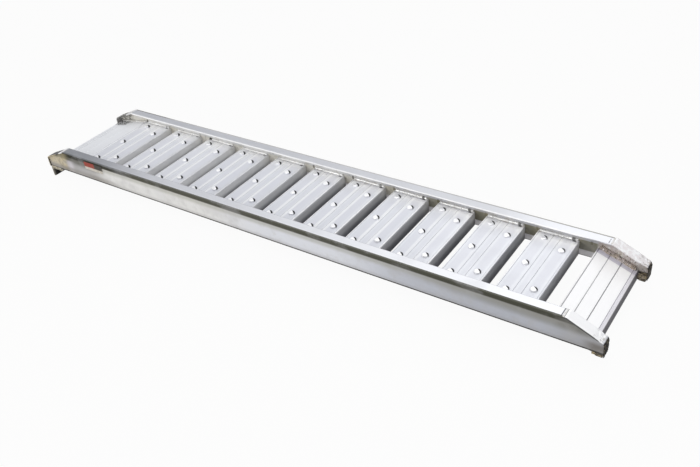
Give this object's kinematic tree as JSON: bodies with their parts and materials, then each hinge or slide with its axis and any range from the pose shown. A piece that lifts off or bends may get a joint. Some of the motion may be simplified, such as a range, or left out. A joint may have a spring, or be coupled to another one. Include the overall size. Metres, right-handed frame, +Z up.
{
  "type": "aluminum loading ramp",
  "caption": "Aluminium loading ramp with flanged curb rails, studded hollow treads, sloping end plates, ground shoes at one end and padded hook claws at the other.",
  "frame": {"origin": "middle of the ramp in plan, at the height of the tips of the hook claws", "axes": "+X along the ramp from the hook end to the ground end, +Y across it to the far rail, +Z up"},
  "size_m": [2.295, 0.4, 0.1395],
  "materials": {
    "rail_aluminium": "satin mill finish",
    "cap_aluminium": "satin, rubbed at the bends",
    "tread_aluminium": "satin mill finish",
    "plate_aluminium": "satin mill finish",
    "claw_aluminium": "dull, stained",
    "shoe_aluminium": "rough, scuffed and dirty",
    "weld_aluminium": "rippled weld metal",
    "pad_rubber": "matte black",
    "label_film": "plain film, bare of print"
  },
  "bodies": {
    "root": {"side_rail_near": "rail_aluminium", "side_rail_far": "rail_aluminium", "ground_cap_near": "cap_aluminium", "ground_cap_far": "cap_aluminium", "hook_cap_near": "cap_aluminium", "hook_cap_far": "cap_aluminium", "tread_01": "tread_aluminium", "tread_02": "tread_aluminium", "tread_03": "tread_aluminium", "tread_04": "tread_aluminium", "tread_05": "tread_aluminium", "tread_06": "tread_aluminium", "tread_07": "tread_aluminium", "tread_08": "tread_aluminium", "tread_09": "tread_aluminium", "tread_10": "tread_aluminium", "tread_11": "tread_aluminium", "ground_end_plate": "plate_aluminium", "hook_end_plate": "plate_aluminium", "hook_claw_near": "claw_aluminium", "hook_claw_far": "claw_aluminium", "claw_pad_near": "pad_rubber", "claw_pad_far": "pad_rubber", "ground_shoe_near": "shoe_aluminium", "ground_shoe_far": "shoe_aluminium", "ground_seam_weld_near": "weld_aluminium", "ground_seam_weld_far": "weld_aluminium", "hook_seam_weld_near": "weld_aluminium", "hook_seam_weld_far": "weld_aluminium", "ground_plate_weld_near": "weld_aluminium", "ground_plate_weld_far": "weld_aluminium", "hook_plate_weld_near": "weld_aluminium", "hook_plate_weld_far": "weld_aluminium", "claw_weld_near": "weld_aluminium", "claw_weld_far": "weld_aluminium", "blank_label": "label_film"}
  },
  "joints": []
}
